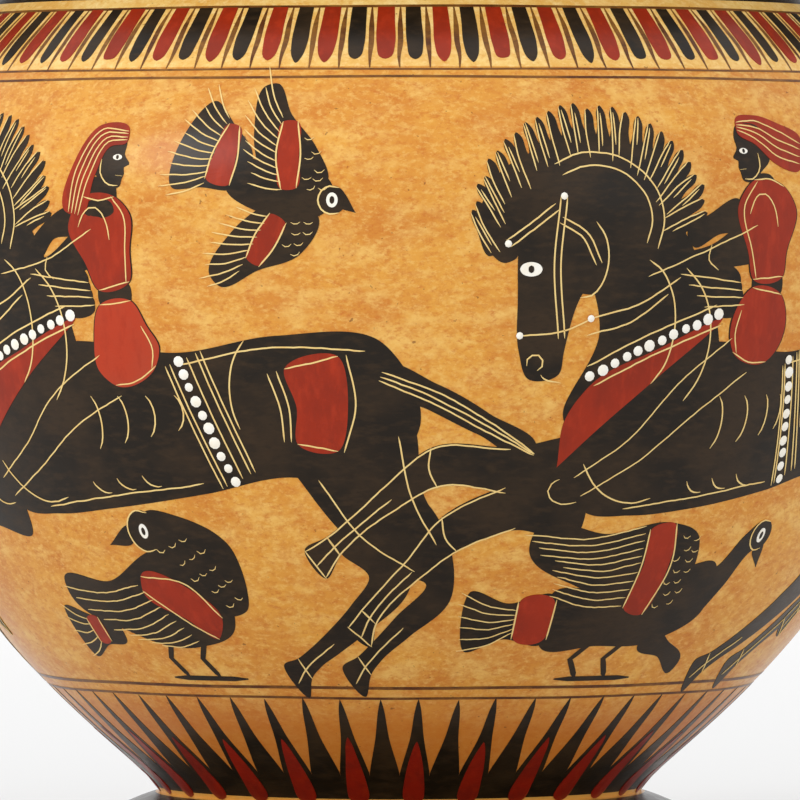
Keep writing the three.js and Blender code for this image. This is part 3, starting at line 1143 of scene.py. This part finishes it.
# Height and width of each ruled line.
RULED_LINES = [(RAY_TIP, 1.05), (62.9, 1.25), (245.2, 0.9), (247.7, 0.75), (266.6, 1.1)]


class KRATER_OT_ruled_lines(bpy.types.Operator):
    """Rule the lines that frame the picture, drawn as the pot turned on the wheel."""

    bl_idname = "krater.ruled_lines"
    bl_label = "Ruled lines"

    def execute(self, context):
        layer = Layer()
        draw = random.Random(9)
        for z, width in RULED_LINES:
            phase = draw.uniform(0, 6)
            turn = turn_steps(360)
            line = [
                (t * DRAWING_RADIUS, z + 0.12 * math.sin(3 * t + phase) + 0.08 * math.sin(11 * t + 2 * phase))
                for t in turn
            ]
            layer.stroke(line, width, LIFT_LINE, closed=True)
        layer.mesh("ruled_lines", [finish("brown_line")])
        return {"FINISHED"}


class KRATER_OT_figures(bpy.types.Operator):
    """Paint the riders, horses and birds round the bowl, with their scratched lines and white dots."""

    bl_idname = "krater.figures"
    bl_label = "Riders and birds"

    def execute(self, context):
        painting = Painting()
        for k, (at, looks, shorter) in enumerate(UNITS):
            lift = LIFT_BLACK + 0.02 * (k % 3)
            paint_horse(painting, at, lift, shorter)
            paint_rider(painting, RIDER_BACK if looks == "back" else RIDER_AHEAD, at, lift)
            paint_bird(painting, FLYING_BIRD, at - 155, lift)
            paint_bird(painting, STANDING_BIRD if looks == "back" else WATER_BIRD, at, lift)
        black, red, scratched = finish("black_slip"), finish("red_slip"), finish("scratched_clay")
        painting.black.mesh("black_figures", [black])
        painting.red.mesh("red_figures", [red, finish("light_red_slip")])
        painting.horse_lines.mesh("scratched_horse_lines", [scratched])
        painting.rider_lines.mesh("scratched_rider_lines", [scratched])
        painting.bird_lines.mesh("scratched_bird_lines", [scratched])
        painting.white.mesh("white_touches", [finish("white_slip")])
        return {"FINISHED"}


# Name, place, size across and watts of each softbox, in metres.
SOFTBOXES = [
    ("Softbox left", (-1.34, -1.16, 1.16), 0.7, 11.0),
    ("Softbox right", (1.6, -1.6, 0.9), 1.3, 2.5),
    ("Softbox top", (0.0, 0.3, 1.9), 1.6, 5.0),
]
LIT_PLACE = (0, 0, 0.17)
CAMERA_PLACE = (0, -2.81, 0.1898)
CAMERA_LENS = 405.3
CAMERA_DOWN = 0.86  # degrees below level
FLOOR_ACROSS = 160
# The floor's grey near the pot is a painted shadow. Far off, the floor is near white.
FLOOR_PAINTED_SHADOW, FLOOR_FAR = (0.72, 0.72, 0.72, 1), (0.98, 0.98, 0.98, 1)


class KRATER_OT_stage(bpy.types.Operator):
    """Set the pale floor, the soft studio light and the camera."""

    bl_idname = "krater.stage"
    bl_label = "Floor, light and camera"

    def execute(self, context):
        scene = context.scene
        self.floor()
        for softbox in SOFTBOXES:
            self.light(*softbox)
        world = bpy.data.worlds.new("White studio")
        scene.world = world
        world.use_nodes = True
        world.node_tree.nodes["Background"].inputs["Color"].default_value = (1, 1, 1, 1)
        world.node_tree.nodes["Background"].inputs["Strength"].default_value = 1.0
        camera = bpy.data.cameras.new("Camera")
        camera.lens, camera.sensor_width, camera.clip_end = CAMERA_LENS, 36, 400
        holder = bpy.data.objects.new("Camera", camera)
        scene.collection.objects.link(holder)
        holder.location = CAMERA_PLACE
        holder.rotation_euler = (math.radians(90 - CAMERA_DOWN), 0, 0)
        scene.camera = holder
        scene.view_settings.view_transform = "Standard"
        scene.view_settings.look = "None"
        return {"FINISHED"}

    def light(self, name, place, size, watts):
        """A round softbox that faces the middle of the pot."""
        data = bpy.data.lights.new(name, "AREA")
        data.shape = "DISK"
        data.size, data.energy = size, watts
        lamp = bpy.data.objects.new(name, data)
        bpy.context.scene.collection.objects.link(lamp)
        lamp.location = place
        lamp.rotation_euler = (Vector(LIT_PLACE) - Vector(place)).to_track_quat("-Z", "Y").to_euler()
        lamp.visible_camera = False

    def floor(self):
        """A broad sheet of matt white card, grey near the pot from a painted shadow."""
        bpy.ops.object.select_all(action="DESELECT")
        bpy.ops.mesh.primitive_plane_add(size=FLOOR_ACROSS, location=(0, 0, 0))
        sheet = bpy.context.object
        sheet.name = sheet.data.name = "floor"
        card, tree, shader = new_material("white_card_painted_shadow", Roughness=0.9, Specular_IOR_Level=0.1)
        place = add_node(tree, "ShaderNodeTexCoord").outputs["Object"]
        away = add_node(tree, "ShaderNodeVectorMath", {0: place}, operation="LENGTH").outputs["Value"]
        # Painted shadow: the card greys towards the pot, within 2.5 m of its middle.
        share = spread(tree, away, 0.2, 2.5)
        tree.links.new(mixed(tree, share, FLOOR_PAINTED_SHADOW, FLOOR_FAR), shader.inputs["Base Color"])
        sheet.data.materials.append(card)


class KRATER_PT_panel(bpy.types.Panel):
    """The krater's sizes, colours and pieces in the sidebar."""

    bl_idname = "KRATER_PT_panel"
    bl_label = "Greek krater"
    bl_space_type = "VIEW_3D"
    bl_region_type = "UI"
    bl_category = "Krater"

    def draw(self, context):
        column = self.layout.column()
        for group in (context.scene.krater_sizes, context.scene.krater_colours):
            for name in type(group).__annotations__:
                column.prop(group, name)
        for operator in MAKING_ORDER:
            column.operator(operator.bl_idname)


MAKING_ORDER = (
    KRATER_OT_stage,
    KRATER_OT_pot,
    KRATER_OT_rays,
    KRATER_OT_tongues,
    KRATER_OT_ruled_lines,
    KRATER_OT_figures,
)
CLASSES = (KraterSizes, KraterColours, *MAKING_ORDER, KRATER_PT_panel)


def register():
    for kind in CLASSES:
        bpy.utils.register_class(kind)
    bpy.types.Scene.krater_sizes = bpy.props.PointerProperty(type=KraterSizes)
    bpy.types.Scene.krater_colours = bpy.props.PointerProperty(type=KraterColours)


def unregister():
    del bpy.types.Scene.krater_colours
    del bpy.types.Scene.krater_sizes
    for kind in reversed(CLASSES):
        bpy.utils.unregister_class(kind)


def main():
    register()
    for operator in (
        bpy.ops.krater.stage,
        bpy.ops.krater.pot,
        bpy.ops.krater.rays,
        bpy.ops.krater.tongues,
        bpy.ops.krater.ruled_lines,
        bpy.ops.krater.figures,
    ):
        operator()
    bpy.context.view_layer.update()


if __name__ == "__main__":
    main()
